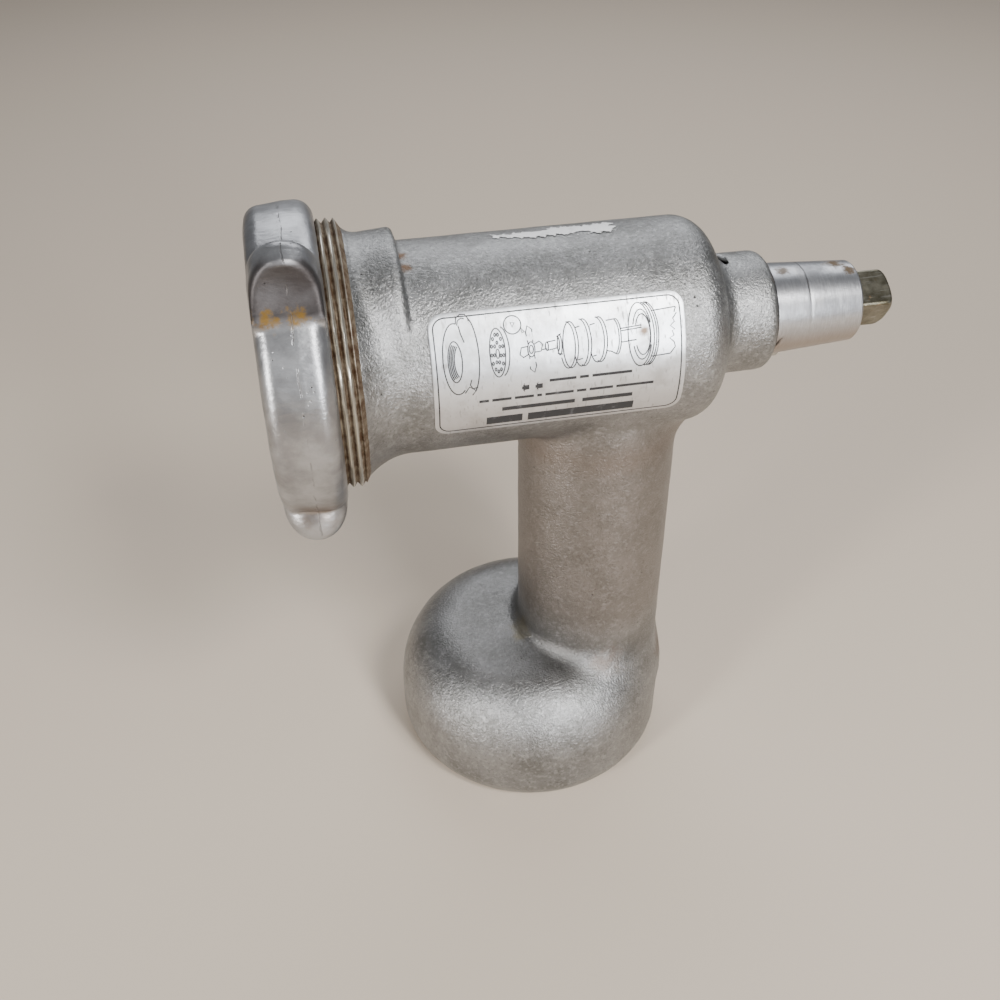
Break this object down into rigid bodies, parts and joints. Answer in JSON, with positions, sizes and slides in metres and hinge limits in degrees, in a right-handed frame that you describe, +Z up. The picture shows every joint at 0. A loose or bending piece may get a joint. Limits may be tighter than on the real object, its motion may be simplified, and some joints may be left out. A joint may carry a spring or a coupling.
{
  "type": "food grinder attachment",
  "caption": "Cast food grinder attachment standing on its hopper rim, with worm, knife, perforated plate, threaded ring nut, tapered spigot and square drive end.",
  "frame": {"origin": "middle of the object's box in X and Y, on the surface that the hopper's rim stands on", "axes": "+X along the barrel towards the square drive, +Y away from the label's side, +Z up, from the hopper's rim towards the barrel"},
  "size_m": [0.2048, 0.1076, 0.2231],
  "materials": {
    "cast_body": "sand-cast, bare, dull grey",
    "ring": "die-cast, lightly polished by handling",
    "worm_metal": "cast, bare",
    "shaft_steel": "turned and milled, dull",
    "blade_steel": "ground",
    "bushing_bronze": "bored, oiled",
    "washer_fibre": "vulcanised fibre, matt",
    "label_foil": "brushed foil with printed lines"
  },
  "bodies": {
    "root": {"grinder_body": "cast_body", "plate_key": "shaft_steel", "shaft_bushing": "bushing_bronze", "hub_pin": "shaft_steel", "label_plate": "label_foil"},
    "drive": {"grind_worm": "worm_metal", "drive_shaft": "shaft_steel", "knife_stud": "shaft_steel", "cutter_knife": "blade_steel", "thrust_washer": "washer_fibre"},
    "plate": {"grinding_plate": "blade_steel"},
    "ring": {"ring_nut": "ring"}
  },
  "joints": [
    {"name": "worm_spin", "type": "hinge", "parent": "root", "child": "drive", "pos_m": [0.0052, -0.00297, 0.1723], "axis": [1, 0, 0], "continuous": true},
    {"name": "plate_slide", "type": "slide", "parent": "root", "child": "plate", "axis": [-1, 0, 0], "range_m": [0, 0.0127]},
    {"name": "ring_turn", "type": "hinge", "parent": "plate", "child": "ring", "pos_m": [-0.0902, -0.00297, 0.1723], "axis": [-1, 0, 0], "range_deg": [0, 1800]}
  ],
  "couplings": [
    {"joint": "plate_slide", "follows": "ring_turn", "m_per_rad": 0.00040425}
  ]
}
